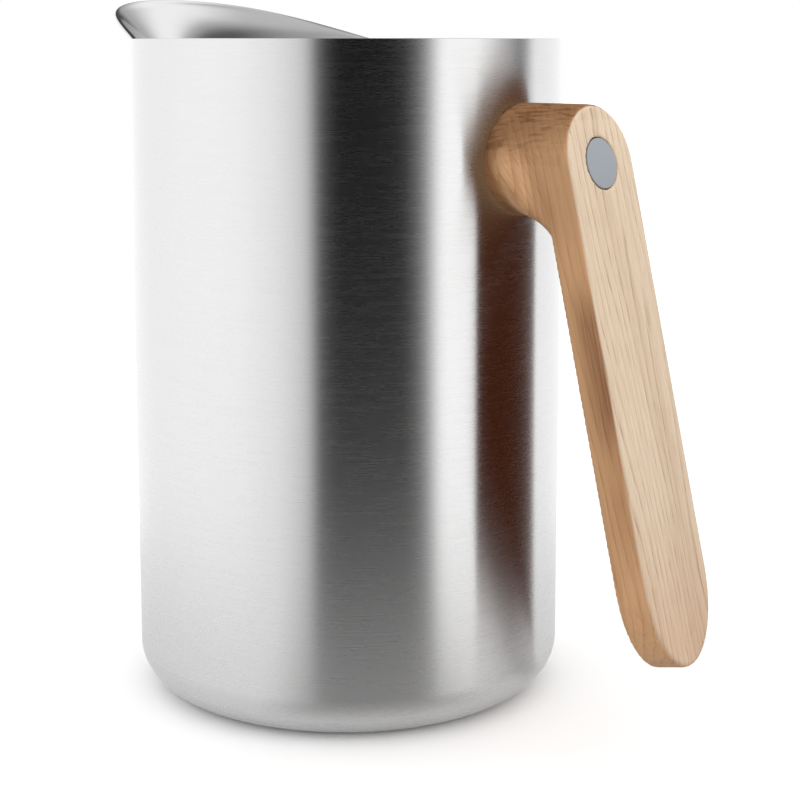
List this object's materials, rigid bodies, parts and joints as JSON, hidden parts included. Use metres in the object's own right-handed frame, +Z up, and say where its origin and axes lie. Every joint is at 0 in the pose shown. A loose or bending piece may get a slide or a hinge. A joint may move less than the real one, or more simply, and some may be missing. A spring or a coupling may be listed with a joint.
{
  "type": "insulated jug",
  "caption": "Upright cylindrical vacuum jug in brushed steel with a flared pouring lip, a push-in lid with a tipping flap and a flat wooden side handle.",
  "frame": {"origin": "centre of the base pad's underside, on the axis of the body", "axes": "+X towards the handle, -X towards the pouring lip, +Z up"},
  "size_m": [0.1759, 0.115, 0.1862],
  "materials": {
    "brushed_steel": "fine circumferential brushing",
    "satin_steel": "smooth satin",
    "solder": "dull",
    "oak": "oiled oak, grain along the leg",
    "grey_plastic": "satin bluish grey",
    "black_plastic": "fine matte",
    "silicone": "matte",
    "foam": "closed-cell foam"
  },
  "bodies": {
    "jug": {"outer_shell": "brushed_steel", "base_plate": "satin_steel", "vacuum_seal": "solder", "base_pad": "silicone", "inner_flask": "satin_steel", "getter": "solder", "pouring_collar": "satin_steel", "handle": "oak", "handle_plug": "grey_plastic", "handle_screw": "satin_steel", "screw_washer": "satin_steel", "mounting_bush": "satin_steel", "locating_pin": "satin_steel"},
    "lid": {"lid_body": "black_plastic", "lid_underside": "black_plastic", "lid_insulation": "foam", "lid_gasket": "silicone", "hinge_pin": "satin_steel"},
    "flap": {"flap_plate": "black_plastic", "flap_cover": "brushed_steel", "flap_seal": "silicone"}
  },
  "joints": [
    {"name": "lid_lift", "type": "slide", "parent": "jug", "child": "lid", "axis": [0, 0, 1], "range_m": [0, 0.08]},
    {"name": "flap_tilt", "type": "hinge", "parent": "lid", "child": "flap", "pos_m": [0.034, 0, 0.1672], "axis": [0, 1, 0], "range_deg": [0, 30]}
  ]
}
